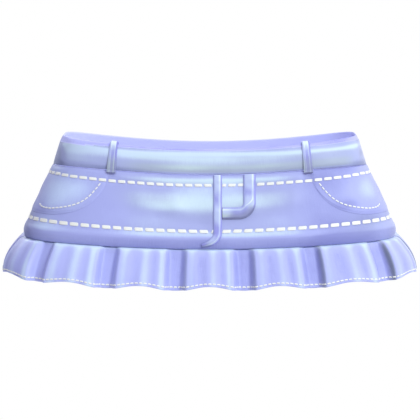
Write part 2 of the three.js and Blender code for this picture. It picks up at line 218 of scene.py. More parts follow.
# Each fold is its start and its end, as the way along from the middle of the front, the back or the side
# and the drop from the piece's top, then its width and its height.
FRONT_FOLDS = [
    ((-78, 33), (-38, 38), 6.5, 1.35),
    ((-38, 38), (2, 43), 7.0, 1.5),
    ((2, 43), (44, 38), 7.0, 1.3),
    ((44, 38), (92, 33), 6.5, 1.25),
    ((-58, 50), (-6, 59), 5.0, -0.55),
    ((16, 58), (84, 49), 5.5, -0.5),
    ((-118, 53), (-70, 58), 6.0, 0.45),
    ((74, 57), (124, 52), 6.0, 0.5),
    ((-100, 7.2), (100, 7.2), 2.6, 0.75),
    ((-34, 22), (-70, 18), 5.5, -0.5),
    ((52, 18), (86, 21), 5.5, -0.45),
]
BACK_FOLDS = [
    ((-92, 31), (-40, 37), 7.0, 1.2),
    ((-40, 37), (6, 41), 7.5, 1.35),
    ((6, 41), (56, 36), 7.0, 1.2),
    ((56, 36), (104, 32), 6.5, 1.1),
    ((-70, 52), (-10, 58), 5.5, -0.55),
    ((22, 57), (90, 50), 5.0, -0.5),
    ((-140, 50), (-96, 58), 6.0, 0.5),
    ((100, 58), (146, 51), 6.5, 0.45),
    ((-120, 7.2), (120, 7.2), 2.6, 0.7),
    ((-20, 20), (-74, 17), 6.0, -0.5),
    ((34, 17), (96, 20), 5.5, -0.5),
]
SIDE_FOLDS = [
    ((-46, 22), (-14, 34), 6.0, 0.7),
    ((44, 24), (12, 37), 6.5, 0.65),
    ((-30, 50), (28, 53), 6.5, 0.6),
]
BAND_SIDE_FOLDS = [
    ((-34, 6), (-66, 11), 3.2, 0.7),
    ((-22, 20), (-56, 24), 3.6, -0.45),
    ((26, 9), (60, 13), 3.4, 0.6),
    ((30, 24), (64, 20), 3.6, -0.4),
]


def band_relief(share, level):
    """How far the folds push the waistband's outside out."""
    around = share * 2 * math.pi
    to_side = (np.abs(from_front(share)) - 0.25) * band_length(level)
    total = 0.22 * np.sin(9 * around + 3 * level + 0.5) + 0.16 * np.sin(17 * around - 2 * level + 1.9)
    total = total + folds_at(BAND_SIDE_FOLDS, to_side, level * BAND_HEIGHT)
    return total * np.sin(math.pi * np.clip(level, 0, 1)) ** 0.8


def panel_relief(share, level):
    """How far the folds push the panels out, the same for both faces of the wall."""
    share, level = np.broadcast_arrays(share, level)
    wrapped, length, drop = from_front(share), panel_length(level), level * PANEL_HEIGHT
    to_back = wrapped - np.sign(wrapped + 1e-12) * 0.5
    to_side = np.abs(wrapped) - 0.25
    total = folds_at(FRONT_FOLDS, wrapped * length, drop) + folds_at(BACK_FOLDS, to_back * length, drop)
    total = total + folds_at(SIDE_FOLDS, to_side * length, drop)
    around = share * 2 * math.pi
    total = total + 0.35 * np.sin(7 * around + drop / 19 + 0.6) * np.sin(drop / 27 + 0.4)
    total = total + 0.25 * np.sin(13 * around - drop / 15 + 2.1)
    return total * smooth_curve([0, 0.05, 0.12, 0.78, 0.9, 1.01], [0, 0.5, 1, 1, 0.25, 0], level)


# Each thick row's shares of the way round from the middle, and its levels there.
UPPER_ROW = ([0, 0.1, 0.15, 0.178, 0.25], [0.151, 0.147, 0.137, 0.116, 0.112])
LOWER_ROW = ([0, 0.06, 0.12, 0.165, 0.25], [0.785, 0.777, 0.767, 0.758, 0.742])
GROOVE_WIDTH, GROOVE_DEPTH = 1.7, 0.4


def mirrored_level(row, share):
    """A row's level, the same in front and at the back and on either side."""
    reach = np.abs(from_front(share))
    return smooth_curve(*row, np.minimum(reach, 0.5 - reach))


def panel_face_smooth(share, level):
    """The panels' outer face without the stitch grooves, for what lies across them."""
    return smooth_curve(*PANEL_FACE, level) + panel_relief(share, level)


def panel_face(share, level):
    """How far the panels' outer face stands off its ring, with the grooves that the tight rows pull in."""
    share, level = np.broadcast_arrays(share, level)
    from_rows = [(level - mirrored_level(row, share)) * PANEL_HEIGHT for row in (UPPER_ROW, LOWER_ROW)]
    grooves = sum(bell(away, 0, GROOVE_WIDTH) for away in from_rows)
    return panel_face_smooth(share, level) - GROOVE_DEPTH * grooves


# ---------------- meshes


def add_mesh(name, points, faces, corners_uv, **attributes):
    """A mesh from points in millimetres, with its cloth coordinates in metres and values at its points."""
    mesh = bpy.data.meshes.new(name)
    mesh.from_pydata((points * 0.001).tolist(), [], faces)
    layer = mesh.uv_layers.new(name="cloth")
    layer.data.foreach_set("uv", (corners_uv * 0.001).astype(np.float32).ravel())
    for kind, values in attributes.items():
        attribute = mesh.attributes.new(kind, "FLOAT", "POINT")
        attribute.data.foreach_set("value", np.asarray(values, np.float32).ravel())
    mesh.polygons.foreach_set("use_smooth", [True] * len(mesh.polygons))
    mesh.update()
    obj = bpy.data.objects.new(name, mesh)
    bpy.context.scene.collection.objects.link(obj)
    return obj


def closed(outer, inner):
    """One closed section from an outer grid, top to foot, and an inner grid, top to foot."""
    return np.concatenate([outer, inner[::-1]])


def run_lengths(points, axis):
    steps = np.linalg.norm(np.diff(points, axis=axis), axis=-1)
    start = np.zeros_like(np.take(steps, [0], axis))
    return np.cumsum(np.concatenate([start, steps], axis), axis)


def cloth_coordinates(outer, inner, ring):
    """Round and down lengths for each point of a closed section, in millimetres."""
    section = closed(outer, inner)
    if ring:
        section = np.concatenate([section, section[:, :1]], 1)
    middle = len(outer) // 2
    round_way = run_lengths(section[middle : middle + 1], 1)
    down = run_lengths(np.concatenate([section, section[:1]]), 0)
    return np.broadcast_to(round_way, down.shape), down


def sweep(name, outer, inner, tone, grey=(0, 0), ring=False, strip=False, lining=True, turned=False):
    """A closed wall from its outer and inner grids, whose rows go down and whose columns go round the body.
    tone and grey are pairs, for the outside and the inside. On a strip the weave is turned a quarter. The
    lining is the cloth's reverse, on the inside and, where the cloth is turned over, on the outside."""
    shape = outer.shape[:2]
    rows, columns = 2 * shape[0], shape[1]
    r, c = np.meshgrid(np.arange(rows), np.arange(columns if ring else columns - 1), indexing="ij")
    r, c = r.ravel(), c.ravel()
    corner_rows = np.stack([r, r + 1, r + 1, r], -1)
    corner_columns = np.stack([c, c, c + 1, c + 1], -1)
    ids = np.arange(rows * columns).reshape(rows, columns)
    faces = ids[corner_rows % rows, corner_columns % columns]
    u, v = cloth_coordinates(outer, inner, ring)
    uv = np.stack([v, u] if strip else [u, v], -1)
    corners = uv[corner_rows, corner_columns]
    if not ring:
        i = np.arange(shape[0] - 1)
        j = rows - 1 - i
        for column, order in ((0, [0, 3, 2, 1]), (columns - 1, [0, 1, 2, 3])):
            cap_rows = np.stack([i, i + 1, j - 1, j], -1)[:, order]
            faces = np.concatenate([faces, ids[cap_rows, column]])
            corners = np.concatenate([corners, uv[cap_rows, column]])
    tone, grey = (closed(*[np.broadcast_to(side, shape) for side in pair]) for pair in (tone, grey))
    points = closed(outer, inner).reshape(-1, 3)
    obj = add_mesh(name, points, faces.tolist(), corners.reshape(-1, 2), tone=tone, grey=grey)
    if lining:
        reverse = np.zeros(len(faces), np.int32)
        reverse[: r.size] = (r >= shape[0]) & (r < rows - 1)
        if np.any(turned):
            over = np.broadcast_to(turned, shape)[np.minimum(r, shape[0] - 1), c]
            reverse[: r.size] |= (r < shape[0]) & over | (r == rows - 1)
        obj.data.polygons.foreach_set("material_index", reverse)
    return obj


def even_levels(places, counts):
    """Levels that run through the named places with so many steps between each two."""
    parts = [np.linspace(a, b, n, endpoint=False) for a, b, n in zip(places, places[1:], counts)]
    return np.concatenate([*parts, [places[-1]]])


SEAM_GAP = 0.3
SEAM_STEPS = np.array([0, 0.12, 0.3, 0.6, 1.0, 1.6])
STEP_PAST_SEAM = 1.0


def seam_to_seam(first, last, length, steps):
    """Places from seam to seam, close together at the seams. length is the millimetres to one place."""
    start, end = first + SEAM_GAP / 2 / length, last - SEAM_GAP / 2 / length
    near = SEAM_STEPS / length
    inset = near[-1] + STEP_PAST_SEAM / length
    middle = start + inset + (end - start - 2 * inset) * np.linspace(0, 1, steps)
    return np.concatenate([start + near, middle, end - near[::-1]], -1)


# ---------------- waistband and panels

BAND_COLUMNS, PANEL_COLUMNS = 520, 300
BAND_BACK_TONE, PANEL_BACK_TONE, RUFFLE_BACK_TONE = 0.45, 0.42, 0.4


def waistband_cloth():
    columns = np.linspace(-0.5, 0.5, BAND_COLUMNS + 1)[:-1][None, :]
    levels = even_levels([0, 0.05, 0.15, 0.9, 1.0], [7, 5, 18, 8])[:, None]
    relief = band_relief(columns, levels)
    across, _ = plan(columns)
    fullness = 1 - 0.55 * smoother((np.abs(across) - 0.9) / 0.1)
    outer = band_point(columns, levels, smooth_curve(*BAND_FACE, levels) * fullness + relief)
    inner = band_point(columns, levels, smooth_curve(*BAND_BACK, levels) + 0.3 * relief)
    side = from_front(columns)
    # Inside the back of the band: a painted cast shadow on the wearer's left, and a painted lighter strip
    # next to it.
    painted_shadow_side = smoother((side - 0.13) / 0.04) * (1 - smoother((side - 0.29) / 0.02))
    inner_tone = BAND_BACK_TONE - 0.3 * painted_shadow_side + 0.3 * bell(side, 0.345, 0.025)
    tone, grey = band_tone(columns, levels)
    turned = levels < turned_over(columns)
    return sweep("waistband_cloth", outer, inner, (tone, inner_tone), (grey, 0), ring=True, turned=turned)


def panel_cloth(name, middle):
    first, last = middle - 0.25, middle + 0.25
    columns = seam_to_seam(first, last, HALF_WAY_LENGTH, PANEL_COLUMNS)[None, :]
    levels = even_levels([0.004, 0.03, 0.1, 0.8, 0.9, 1.0, 1.008], [5, 6, 36, 10, 12, 3])[:, None]
    face = panel_face(columns, levels)
    back = smooth_curve(*PANEL_BACK, levels) + panel_relief(columns, levels)
    from_seam = np.minimum(columns - first, last - columns) * HALF_WAY_LENGTH
    centre, half = (face + back) / 2, (face - back) / 2 * (0.22 + 0.78 * rounded(from_seam / 1.5))
    outer = panel_point(columns, levels, centre + half)
    inner = panel_point(columns, levels, centre - half)
    tone, grey = panel_tone(columns, levels)
    return sweep(name, outer, inner, (tone, PANEL_BACK_TONE), (grey, 0))


# ---------------- ruffle

WAVE_COUNT = 16
# neck place, hem place, half width, depth, sag: from the middle of the front round to the back
VALLEYS = [
    (0.485, 0.465, 14.0, 11.0, 5.4),
    (1.45, 1.4, 13.5, 11.5, 5.0),
    (2.43, 2.37, 13.0, 10.5, 4.6),
    (3.45, 3.4, 12.0, 9.0, 3.8),
    (4.43, 4.47, 12.5, 9.5, 4.0),
    (5.44, 5.58, 13.5, 11.0, 4.8),
    (6.4, 6.5, 13.0, 10.5, 5.0),
    (7.47, 7.52, 14.5, 11.5, 5.2),
]
VALLEY_FLOOR = 0.34
RUFFLE_WALL = 1.5
FLARE_FRONT, FLARE_SIDE = 1.15, 1.75
# The swelling right under the panels' hem: its height, and the falls where it starts and by which it rises.
PUFF, PUFF_START, PUFF_RISE = 4.6, 0.022, 0.014
# The steps by which the ruffle is probed for its normal.
PLACE_PROBE, ROW_PROBE = 0.004, 0.01
# How far the hidden neck stands behind the panels' back.
NECK_GAP = 0.45
# Millimetres to a wave where the ruffle's columns are set out, and how many there are between the seams.
COLUMN_PITCH, RUFFLE_COLUMNS = 80.0, 560
# Rows where the hem's turning starts and where it is sewn.
HEM_FOLD, HEM_ROW = 1.885, 1.928


def valley_list():
    """All valleys once round, with five more at each end, as rows of neck, hem, half width, depth, sag."""
    left = np.array(VALLEYS)
    right = left[::-1] * np.array([-1, -1, 1, 1, 1])
    left[2, :2] += 0.04
    once = np.concatenate([right, left])
    turn = np.array([WAVE_COUNT, WAVE_COUNT, 0, 0, 0])
    return np.concatenate([once[-5:] - turn, once, once[:5] + turn])


def valley_place(valley, fall):
    return valley[0] + (valley[1] - valley[0]) * fall


def ruffle_row(s):
    """Level, fall and gather at a row. s is 0 at the hidden neck, 1 at the panel's hem, 2 at the ruffle's."""
    level = np.where(s < 1, 0.9 + 0.1 * s, 1.0)
    fall = np.clip(s - 1, 0, 1)
    gather = np.where(s < 1, 0.15 + 0.23 * smoother(s), 1 - 0.62 * np.exp(-fall / 0.22))
    return level, fall, gather


def wave_pitch(fall):
    return ring_length(between(PANEL_HEM, RUFFLE_HEM, fall)) / WAVE_COUNT


def ruffle_waves(place, fall):
    """Depth behind the waves' crests, sag, the way across a crest, and the way out of a valley."""
    depth, sag, travel, wall = (np.zeros_like(place) for _ in range(4))
    pitch = wave_pitch(fall)
    rows = valley_list()
    for first, second in zip(rows, rows[1:]):
        start, end = valley_place(first, fall), valley_place(second, fall)
        inside = (place >= start) & (place < end)
        t = (place - start) / (end - start)
        near = np.where(t < 0.5, first[4], second[4])
        from_first, from_second = (place - start) * pitch / first[2], (end - place) * pitch / second[2]
        dent = first[3] * (1 - smoother((from_first - VALLEY_FLOOR) / (1 - VALLEY_FLOOR)))
        dent = dent + second[3] * (1 - smoother((from_second - VALLEY_FLOOR) / (1 - VALLEY_FLOOR)))
        crest_start, crest_end = start + first[2] / pitch, end - second[2] / pitch
        across = (place - crest_start) / (crest_end - crest_start)
        crest = np.sin(math.pi * np.clip(across, 0, 1)) ** 0.5
        dimple = 0.5 * (1 - np.cos(2 * math.pi * (across - 0.13) / 0.42)) * crest
        found = (dent + dimple, near * np.cos(math.pi * t) ** 2, across, from_first)
        for kept, value in zip((depth, sag, travel, wall), found):
            np.copyto(kept, value, where=inside)
    return depth, sag, travel, wall


def small_gathers(place, fall):
    """Fine puckers under the panel's hem that die out down the ruffle, and softer ones that grow."""
    pucker = np.sin(2 * math.pi * place * 5.0 + 1.1 * np.sin(place * 3.1))
    pucker = pucker + 0.8 * np.sin(2 * math.pi * place * 8.3 + 2.0 + 0.9 * np.sin(place * 5.3))
    soft = np.sin(2 * math.pi * place * 2.6 + 0.7 + 1.3 * np.sin(place * 2.3))
    return 0.28 * pucker * np.exp(-fall / 0.16) + 0.3 * soft * (0.35 + 0.65 * fall)


def ruffle_outer(place, s):
    """A point of the ruffle's outside. Places count waves from the middle of the front."""
    place, s = np.broadcast_arrays(np.asarray(place, float), np.asarray(s, float))
    share = place / WAVE_COUNT
    level, fall, gather = ruffle_row(s)
    neck = panel_point(share, level, smooth_curve(*PANEL_BACK, level) - NECK_GAP)
    hem = ring_point(RUFFLE_HEM, share)
    along = ring_point(PANEL_HEM, share + PROBE) - ring_point(PANEL_HEM, share - PROBE)
    normal = unit(np.stack([along[..., 1], -along[..., 0], np.zeros(share.shape)], -1))
    flare = 1 - (1 - fall) ** (FLARE_FRONT + (FLARE_SIDE - FLARE_FRONT) * normal[..., 0] ** 2)
    swing = np.stack([flare, flare, fall], -1)
    point = neck * (1 - swing) + hem * swing
    depth, sag, _, _ = ruffle_waves(place, fall)
    puff = PUFF * (1 - np.exp(-np.maximum(fall - PUFF_START, 0) / PUFF_RISE)) * (1 - fall)
    puckers = small_gathers(place, fall) * np.clip(s - 0.9, 0, 1) ** 0.5
    point = point + normal * (puff - depth * gather - np.abs(puckers))[..., None]
    point[..., 2] -= sag * fall**2
    return point


def ruffle_normal(place, s):
    across = ruffle_outer(place + PLACE_PROBE, s) - ruffle_outer(place - PLACE_PROBE, s)
    below, above = np.minimum(s + ROW_PROBE, 2.0), np.maximum(s - ROW_PROBE, 0)
    return unit(np.cross(ruffle_outer(place, below) - ruffle_outer(place, above), across))


def seam_place(fall):
    """Where the wearer's left side seam runs: on the crest of the wave at the side."""
    before, after = np.array(VALLEYS)[3:5]
    pitch = wave_pitch(fall)
    start = valley_place(before, fall) + before[2] / pitch
    end = valley_place(after, fall) - after[2] / pitch
    return (start + end) / 2


def ruffle_cloth(name, front):
    s = even_levels([0, 0.9, 1.02, 1.1, 1.9, 2.0], [6, 5, 10, 26, 8])[:, None]
    seam = seam_place(ruffle_row(s)[1])
    first, last = (-seam, seam) if front else (seam, WAVE_COUNT - seam)
    place = seam_to_seam(first, last, COLUMN_PITCH, RUFFLE_COLUMNS)
    s = np.broadcast_to(s, place.shape)
    surface, normal = ruffle_outer(place, s), ruffle_normal(place, s)
    from_seam = np.minimum(place - place[:, :1], place[:, -1:] - place) * COLUMN_PITCH
    thin = (0.25 + 0.75 * rounded(from_seam / 1.3)) * (0.35 + 0.65 * rounded((2.0 - s) / 0.03))
    fold = 0.35 * np.clip((s - HEM_FOLD) / 0.02, 0, 1) - 0.3 * bell(s, HEM_ROW, 0.018)
    outer = surface + normal * (fold - RUFFLE_WALL / 2 * (1 - thin))[..., None]
    inner = surface - normal * (RUFFLE_WALL / 2 * (1 + thin))[..., None]
    tone, grey = ruffle_tone(place, s)
    return sweep(name, outer, inner, (tone, RUFFLE_BACK_TONE), (grey, 0))


# ---------------- hip pockets

# Shares of the way round at the inner tip and the round corner, and levels of the top, the tip and the foot.
POCKET_INNER, POCKET_CORNER = 0.11, 0.17
POCKET_TOP, POCKET_TIP, POCKET_DEPTH, POCKET_ROUNDNESS = 0.012, 0.05, 0.67, 2.5
# Millimetres from the panel to the patch, of the patch, and of its edge.
POCKET_GAP, POCKET_RISE, POCKET_EDGE = 0.12, 0.6, 0.12


def pocket_foot(reach):
    """The level of the patch's lower edge."""
    run = np.clip((reach - POCKET_INNER) / (POCKET_CORNER - POCKET_INNER), 0, 1)
    portion = (1 - (1 - run) ** POCKET_ROUNDNESS) ** (1 / POCKET_ROUNDNESS)
    return POCKET_TIP + (POCKET_DEPTH - POCKET_TIP) * portion


def pocket_bulge(share, level):
    from_middle = (np.abs(from_front(share)) - 0.17) * panel_length(level)
    return 0.9 * spot(from_middle, (level - 0.4) * PANEL_HEIGHT, 0, 0, 26, 17)


def pocket_lift(share, level):
    """How far the pocket patch lifts what is sewn on the panel: 0 outside the patch."""
    reach = np.abs(from_front(share))
    inside = (reach > POCKET_INNER) & (reach < 0.25) & (level < pocket_foot(reach))
    return np.where(inside, POCKET_GAP + POCKET_RISE + pocket_bulge(share, level), 0.0)


def pocket_cloth(name, side):
    length = float(panel_length(0.4))
    tip = POCKET_INNER + np.array([0, 0.25, 0.7, 1.5, 2.8, 4.5, 6.5, 9.0, 12.0]) / length
    body = np.linspace(tip[-1], 0.25 - 2.5 / length, 84)[1:]
    edge = 0.25 - np.array([1.5, 0.9, 0.45, 0.2]) / length
    reach = np.concatenate([tip, body, edge])[:: side][None, :]
    portion = even_levels([0, 0.05, 0.85, 1.0], [4, 32, 14])[:, None]
    foot = pocket_foot(reach)
    level = POCKET_TOP + (foot - POCKET_TOP) * portion
    share = side * np.broadcast_to(reach, level.shape)
    away = np.minimum(foot - level, level - POCKET_TOP) * PANEL_HEIGHT
    away = np.minimum(away, np.minimum(reach - POCKET_INNER, 0.25 - reach) * length)
    rise = POCKET_EDGE + (POCKET_RISE - POCKET_EDGE + pocket_bulge(share, level)) * smoother(away / 4.5)
    base = panel_face(share, level) + POCKET_GAP
    tone = pocket_tone(share, level)
    outer, inner = panel_point(share, level, base + rise), panel_point(share, level, base)
    return sweep(name, outer, inner, (tone, tone), lining=False)


# ---------------- tone: painted light and shade, with some uneven dye: 0 darkest, 0.5 plain, 1 palest

# About half the way round the waistband, in millimetres.
HALF_BAND = 480.0
# Painted light and shade in bands round the body: strength, place along and width. Positive is the wearer's
# left.
BAND_PAINTED_SHADING = [
    (-0.09, 150, 16), (-0.14, 188, 12), (0.2, -158, 15), (-0.34, -184, 9), (-0.4, -205, 14),
    (0.12, -35, 22),
]
# The same on the panels: painted shade towards the sides.
PANEL_PAINTED_SHADING = [(-0.34, 145, 23), (-0.42, -238, 14), (-0.16, 232, 16)]
# Painted light and shade in spots: strength, place along, level, width and height as a level.
BAND_PAINTED_SPOTS = [
    (-0.14, 81, 0.39, 25, 0.1), (-0.1, 24, 0.12, 20, 0.05), (0.1, 20, 0.55, 25, 0.1),
    (0.18, 152, 0.38, 14, 0.08), (-0.12, -135, 0.92, 20, 0.06),
]
# Painted light and shade in spots on the panels: strength, place along, drop, width and height.
PANEL_PAINTED_SPOTS = [
    (0.15, -172, 31, 32, 14), (-0.16, -140, 69, 20, 4), (-0.26, 182, 65, 18, 9),
    (0.2, -195, 3, 24, 6), (-0.28, 159, 42.5, 10, 4), (0.14, 184, 30, 12, 12),
    (0.15, -187, 45, 12, 6), (0.12, -145, 23, 12, 8), (0.2, -56, 40, 16, 4), (0.15, -11, 20, 14, 5),
    (-0.1, -44, 29, 14, 4), (0.12, -22, 49, 24, 4),
]
# The same, by the way from the middle of the front or the back to either side.
MIRRORED_PAINTED_SPOTS = [(0.1, 66, 57, 34, 7), (-0.07, 112, 34, 16, 30)]


def turned_over(share):
    """The level down to which the waistband's facing is rolled over the rim."""
    side = from_front(share)
    ends = 0.06 * smoother((np.abs(side) - 0.08) / 0.07) + 0.08 * smoother((-side - 0.13) / 0.03)
    return 0.085 + ends * (1 - smoother((np.abs(side) - 0.24) / 0.06))


def band_tone(share, level):
    """Tone and greyness of the waistband's outside: painted highlights on its upper part, painted shade down
    to its foot, a painted grey tint on its lower part and middle, painted light and shade towards its ends,
    and a little uneven dye.
    """
    share, level = np.broadcast_arrays(share, level)
    around = share * 2 * math.pi
    along = from_front(share) * band_length(level)
    front = np.minimum(np.abs(along), HALF_BAND - np.abs(along))
    # Painted highlight: a pale line near the top, and a broader one below it.
    painted_highlight_line = 0.2 + 0.08 * smoother(front / 110) + 0.07 * bell(along, 150, 35)
    spread = 0.6 + bells([(0.55, -85, 45), (0.35, 75, 25), (-0.6, 150, 25)], along)
    tone = 0.52 + 0.4 * bell(level, painted_highlight_line, 0.06) + 0.34 * spread * bell(level, 0.4, 0.11)
    # Painted shade down to the band's foot.
    tone = tone - 0.34 * smoother((level - 0.72) / 0.28)
    not_left = 1 - smoother((along - 150) / 30)
    # A painted grey tint on the lower part and on the middle.
    lower = smoother((level - 0.5) / 0.3) * smoother((along + 120) / 60) * not_left
    upper_grey = 0.3 * bell(level, 0.45, 0.12) * smoother((along + 110) / 40) * not_left
    grey = 0.75 * lower * (1 - smoother((level - 0.9) / 0.08)) + upper_grey
    # Painted shade at the wearer's left end of the band, on its upper part.
    corner = smoother((along - 174) / 18) * (1 - smoother((along - 205) / 25))
    tone = tone + 0.12 * lower - 0.24 * corner * (1 - smoother((level - 0.55) / 0.3))
    tone = tone + bells(BAND_PAINTED_SHADING, along) + spots(BAND_PAINTED_SPOTS, along, level)
    # The rolled-over facing's tone, with painted light and shade along it.
    facing = 0.14 + 0.12 * smoother((-along - 70) / 50) * (along > -230) + 0.1 * bell(along, 107, 25)
    tone = np.where(level < turned_over(share), facing, tone)
    return tone + 0.05 * np.sin(5 * around + 0.8) + 0.04 * np.sin(11 * around + 4 * level), grey


def panel_tone(share, level):
    """Tone and greyness of the panels' outside: painted highlights above the folds, under the band and over
    the hem, painted shade in the troughs, on the turned-under hem and towards the sides, a painted grey tint
    on the highlights and towards the sides, and a little uneven dye.
    """
    share, level = np.broadcast_arrays(share, level)
    wrapped, length, drop = from_front(share), panel_length(level), level * PANEL_HEIGHT
    along, reach = wrapped * length, np.abs(wrapped)
    front = np.minimum(reach, 0.5 - reach) * length
    # Painted highlight above the soft ridges, and painted shade in the trough below.
    painted_highlight_line = 34.4 - 3.2 * (front / 62) ** 1.5
    painted_shade_line = 52.4 - 8.5 * (1 - np.exp(-front / 50))
    middle = np.exp(-((front / 96) ** 6))
    # The painted highlight is weaker at the back.
    painted_highlight_strength = 1 - 0.3 * (reach > 0.25)
    tone = 0.46 + 0.35 * painted_highlight_strength * middle * np.exp(-(np.abs((drop - painted_highlight_line) / 10) ** 3))
    # Painted highlight under the band's middle, painted shade in the trough, and painted highlights on the
    # ridges under the band and above the hem.
    tone = tone + 0.2 * np.exp(-((front / 48) ** 4)) * spot(front, drop, 0, 19, 200, 8)
    tone = tone - 0.1 * np.exp(-((front / 74) ** 4)) * bell(drop, painted_shade_line, 4)
    tone = tone + 0.42 * middle * bell(drop, 7.6, 2.6) + (0.16 + 0.22 * middle) * bell(drop, 69.4, 3.2)
    # Painted shade on the turned-under hem, and painted light and shade in bands and spots.
    tone = tone - 0.2 * smoother((level - 0.865) / 0.05)
    tone = tone + 0.24 * bell(along, -190, 22) * smoother((drop - 48) / 16) + bells(PANEL_PAINTED_SHADING, along)
    tone = tone + spots(PANEL_PAINTED_SPOTS, along, drop) + spots(MIRRORED_PAINTED_SPOTS, front, drop)
    # A painted grey tint on the highlights and towards the sides.
    grey = middle * (0.6 * bell(drop, painted_highlight_line, 10) + 0.2 * bell(drop, 60, 10) + 0.5 * bell(drop, 7.6, 3))
    grey = grey + bells([(0.35, -236, 16), (0.2, 232, 16)], along) + 0.5 * spot(along, drop, 185, 65, 20, 10)
    around = share * 2 * math.pi
    return tone + 0.04 * np.sin(6 * around + drop / 13) + 0.03 * np.sin(15 * around - drop / 9 + 1), grey


def pocket_tone(share, level):
    from_middle = np.abs(from_front(share)) * panel_length(level)
    # A painted pale highlight on the pocket patch.
    return panel_tone(share, level)[0] + 0.2 * spot(from_middle, level * PANEL_HEIGHT, 168, 30, 26, 13)


def ruffle_tone(place, s):
    """Tone and greyness of the ruffle's outside: painted highlights across each crest and under the panels'
    hem, painted shade on the valleys' walls and towards the wearer's right, and a painted grey tint in the
    front's valleys.
    """
    place, s = np.broadcast_arrays(place, s)
    _, fall, _ = ruffle_row(s)
    _, _, across, wall = ruffle_waves(place, fall)
    lean = 0.02 * np.sin(place * 2.7)
    # Painted highlights across each crest.
    tone = 0.32 + 0.3 * bell(across, 0.1 + lean, 0.07) + 0.32 * bell(across, 0.575 - lean, 0.08)
    tone = tone + 0.42 * bell(across, 0.945 - lean, 0.055)
    # Painted light under the panels' hem, and a little lighter near the ruffle's hem.
    tone = tone + 0.4 * np.exp(-fall / 0.08) + 0.4 * np.exp(-fall / 0.04) + 0.08 * np.exp(-(1 - fall) / 0.1)
    # Painted shade towards the wearer's right, and painted light next to it.
    painted_end_shade = bells([(0.45, -3.75, 0.42), (0.25, -2.75, 0.2)], place)
    tone = tone + 0.14 * bell(place, -2, 0.8) - np.exp(-fall / 0.4) * painted_end_shade
    # Painted shade on the valleys' walls, deeper towards the wearer's left in front, with a painted grey tint
    # there.
    in_front, valley_wall = np.abs(place) < 4, bell(wall, 0.8, 0.14)
    painted_valley_shade = 0.22 * smoother((place - 0.4) / 1.1) + 0.14 * smoother((place - 1.5) / 0.8)
    grey = 0.4 * smoother((place + 1.4) / 0.6) + 0.5 * smoother((place - 0.6) / 0.8)
    return tone - np.where(in_front, painted_valley_shade, 0.1) * valley_wall, grey * valley_wall * in_front


# ---------------- fly welts and belt loops

# The drop where the fly's strips start, and how far their backs stand off the panel.
FLY_TOP, WELT_BASE = 0.9, 0.35
# Painted light and shade along each strip, from its top: the share of the way, and the tone there.
FLY_EDGE_TONE = ([0, 0.1, 0.31, 0.52, 0.7, 0.87, 1], [0.68, 0.66, 0.4, 0.6, 0.33, 0.55, 0.2])
FLY_J_TONE = (
    [0, 0.12, 0.29, 0.455, 0.6, 0.77, 0.94, 1],
    [0.68, 0.66, 0.4, 0.66, 0.42, 0.42, 0.68, 0.75],
)
# Painted light and shade down a belt loop: the way down the band as a share, and the tone there; palest over
# the rim.
LOOP_TONE = ([-0.1, 0.03, 0.14, 0.32, 0.6, 1.1], [0.95, 0.88, 0.7, 0.42, 0.39, 0.38])


def eased(count):
    """Places from -1 to 1, close together at both ends."""
    return np.sin(np.linspace(-1, 1, count) * math.pi / 2)


def front_drop_point(along, drop, out):
    """A point on the front by its way along from the middle and down from the band, out from the cloth."""
    level = drop / PANEL_HEIGHT
    share = along / panel_length(level)
    return panel_point(share, level, panel_face_smooth(share, level) + out)


def resample(route, count):
    """Evenly spaced places on a route of along, drop and half width."""
    route = np.asarray(route)
    lengths = run_lengths(route[:, :2], 0)
    at = np.linspace(0, lengths[-1], count)
    return np.stack([np.interp(at, lengths, values) for values in route.T], -1)


def fly_edge_route():
    """Straight down, then bent to a narrow tip on the wearer's right."""
    along, half, bend_start, reach, end_along, end_drop, end_half = 8.9, 4.9, 67, 12, -9.4, 82, 1.6
    t = np.linspace(0, 1, 40)
    x = (1 - t) ** 2 * along + 2 * t * (1 - t) * along + t * t * end_along
    y = (1 - t) ** 2 * bend_start + 2 * t * (1 - t) * (bend_start + reach) + t * t * end_drop
    curve = np.stack([x, y, half + (end_half - half) * t**2], -1)
    return resample(np.concatenate([[[along, FLY_TOP, half]], curve]), 150)


def fly_j_route():
    """Straight down, round a quarter circle and back towards the fly's edge."""
    along, drop, radius, upright, foot, end = 44.9, 45.4, 11.5, 7.0, 6.7, 14.2
    t = np.linspace(0, math.pi / 2, 30)
    x = along - radius + radius * np.cos(t)
    y = drop - radius + radius * np.sin(t)
    turned = np.clip((along - x) / radius, 0, 1)
    curve = np.stack([x, y, upright + (foot - upright) * turned], -1)
    return resample(np.concatenate([[[along, FLY_TOP, upright]], curve, [[end, drop, foot]]]), 110)


